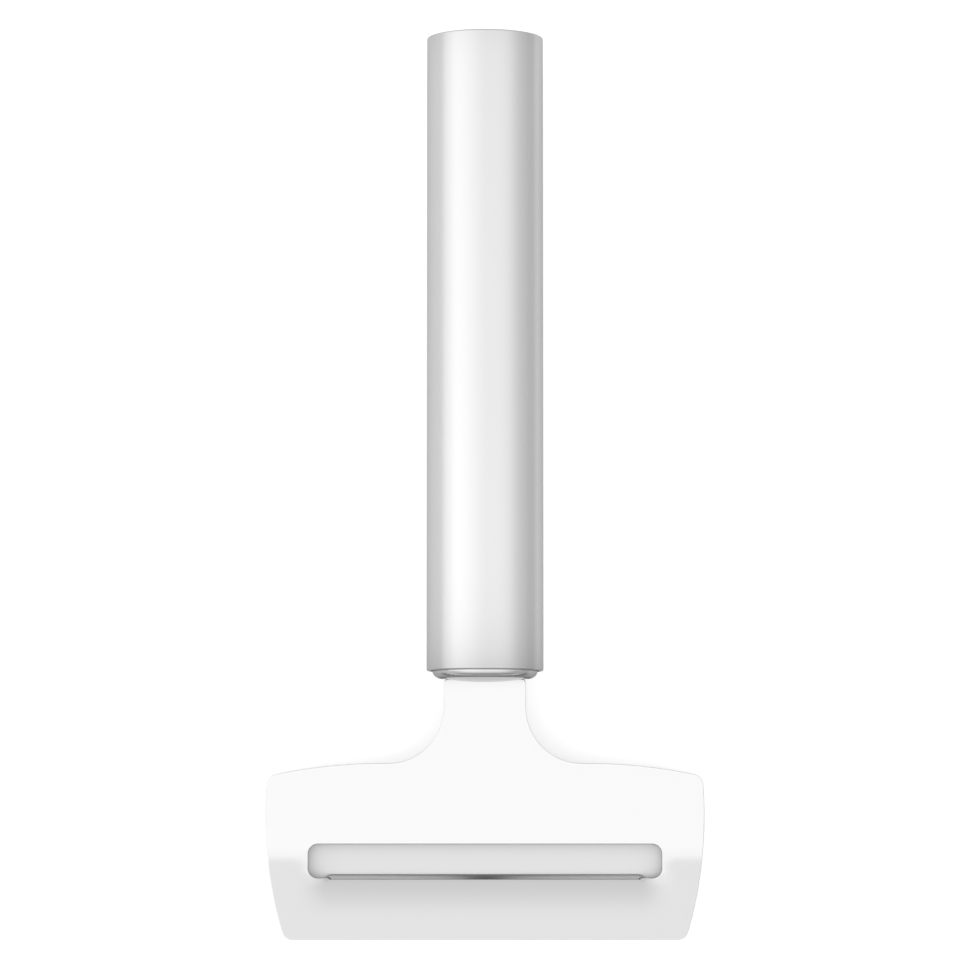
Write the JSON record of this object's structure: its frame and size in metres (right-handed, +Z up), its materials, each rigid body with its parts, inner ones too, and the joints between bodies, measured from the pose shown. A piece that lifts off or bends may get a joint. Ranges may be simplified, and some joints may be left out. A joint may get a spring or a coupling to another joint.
{
  "type": "cheese slicer",
  "caption": "Cheese slicer with a round steel tube handle and a wide bent sheet blade whose slot has a pressed-down, ground cutting edge.",
  "frame": {"origin": "under the middle of the slicer's box, on the surface it lies on, blade's top face up", "axes": "+Y from the blade's tip towards the handle's free end, +Z up from the table, X across the blade"},
  "size_m": [0.0944, 0.194, 0.026],
  "materials": {
    "matt_steel": "fine satin, brushed along the handle",
    "polished_steel": "mirror polished",
    "blade_steel": "polished sheet",
    "core_plastic": "as moulded"
  },
  "bodies": {
    "root": {"handle_tube": "matt_steel", "end_cap": "matt_steel", "collar": "polished_steel", "blade": "blade_steel", "tang_core": "core_plastic"}
  },
  "joints": []
}
